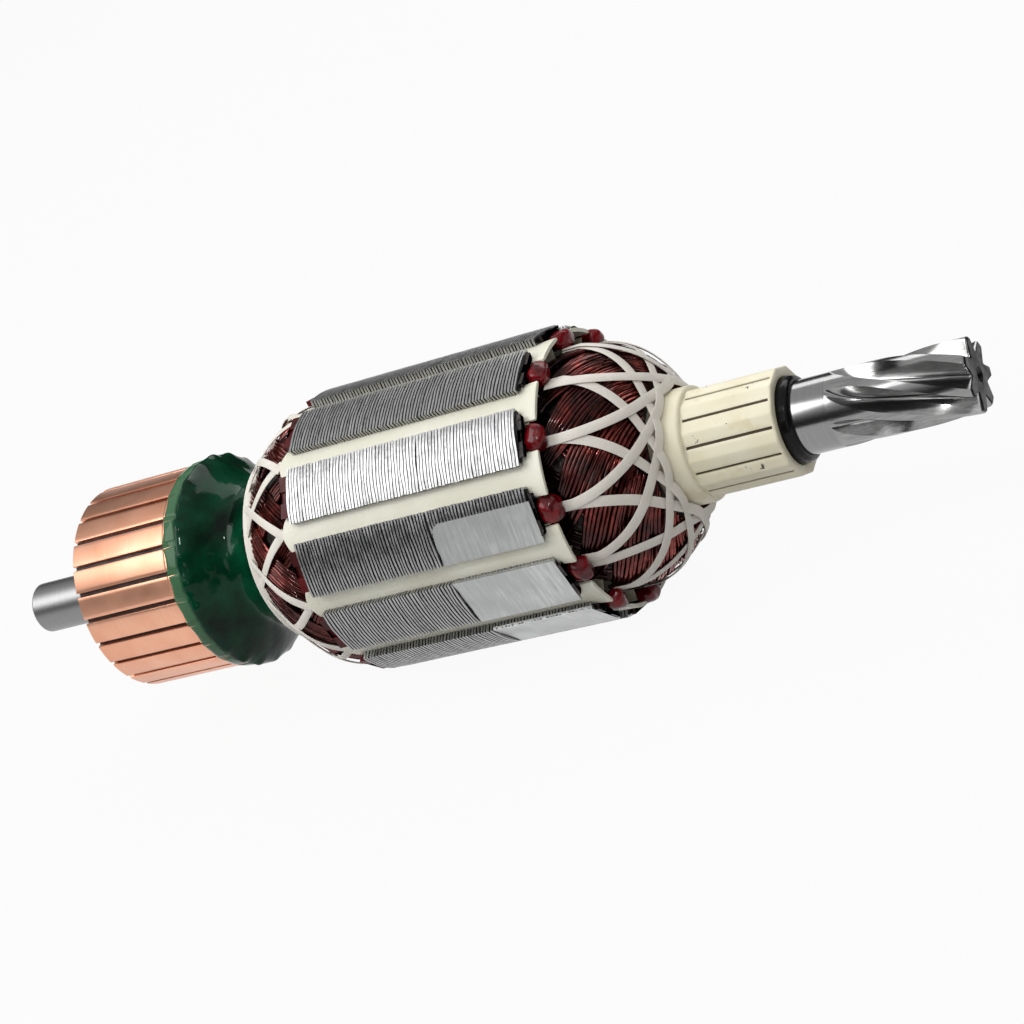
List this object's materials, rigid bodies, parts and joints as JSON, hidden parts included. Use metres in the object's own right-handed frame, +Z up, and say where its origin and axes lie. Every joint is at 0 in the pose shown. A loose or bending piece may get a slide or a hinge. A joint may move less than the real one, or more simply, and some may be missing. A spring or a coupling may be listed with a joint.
{
  "type": "motor armature",
  "caption": "Wound motor armature: shaft with helical pinion, copper commutator, slotted laminated core, laced windings and a ribbed fan sleeve.",
  "frame": {"origin": "on the shaft's axis at the shoulder of the commutator-end bearing journal", "axes": "+X along the shaft from the commutator to the pinion; +Z up with a slot at the top, as the armature lies across two tooth tips"},
  "size_m": [0.2014, 0.0538, 0.0538],
  "materials": {
    "shaft_steel": "ground and milled",
    "black_insulation": "glossy moulded",
    "lamination_steel": "stacked sheet edges",
    "red_insulator": "varnished",
    "slot_liner": "film",
    "slot_wedge": "satin",
    "enamelled_wire": "dark red enamel and varnish",
    "commutator_copper": "turned copper",
    "moulded_hub": "phenolic moulding",
    "bush_steel": "turned",
    "green_resin": "cured glossy resin",
    "lacing_tape": "flat woven tape, varnished",
    "sleeve_plastic": "moulded satin"
  },
  "bodies": {
    "root": {"shaft": "shaft_steel", "shaft_insulation": "black_insulation", "core": "lamination_steel", "end_insulator_commutator": "red_insulator", "end_insulator_drive": "red_insulator", "slot_liners": "slot_liner", "slot_wedge_01": "slot_wedge", "slot_wedge_02": "slot_wedge", "slot_wedge_03": "slot_wedge", "slot_wedge_04": "slot_wedge", "slot_wedge_05": "slot_wedge", "slot_wedge_06": "slot_wedge", "slot_wedge_07": "slot_wedge", "slot_wedge_08": "slot_wedge", "slot_wedge_09": "slot_wedge", "slot_wedge_10": "slot_wedge", "slot_wedge_11": "slot_wedge", "slot_wedge_12": "slot_wedge", "coil_01": "enamelled_wire", "coil_02": "enamelled_wire", "coil_03": "enamelled_wire", "coil_04": "enamelled_wire", "coil_05": "enamelled_wire", "coil_06": "enamelled_wire", "coil_07": "enamelled_wire", "coil_08": "enamelled_wire", "coil_09": "enamelled_wire", "coil_10": "enamelled_wire", "coil_11": "enamelled_wire", "coil_12": "enamelled_wire", "commutator_bar_01": "commutator_copper", "commutator_bar_02": "commutator_copper", "commutator_bar_03": "commutator_copper", "commutator_bar_04": "commutator_copper", "commutator_bar_05": "commutator_copper", "commutator_bar_06": "commutator_copper", "commutator_bar_07": "commutator_copper", "commutator_bar_08": "commutator_copper", "commutator_bar_09": "commutator_copper", "commutator_bar_10": "commutator_copper", "commutator_bar_11": "commutator_copper", "commutator_bar_12": "commutator_copper", "commutator_bar_13": "commutator_copper", "commutator_bar_14": "commutator_copper", "commutator_bar_15": "commutator_copper", "commutator_bar_16": "commutator_copper", "commutator_bar_17": "commutator_copper", "commutator_bar_18": "commutator_copper", "commutator_bar_19": "commutator_copper", "commutator_bar_20": "commutator_copper", "commutator_bar_21": "commutator_copper", "commutator_bar_22": "commutator_copper", "commutator_bar_23": "commutator_copper", "commutator_bar_24": "commutator_copper", "commutator_hub": "moulded_hub", "commutator_bush": "bush_steel", "riser_resin": "green_resin", "lacing_commutator": "lacing_tape", "lacing_drive": "lacing_tape", "fan_sleeve": "sleeve_plastic"}
  },
  "joints": []
}
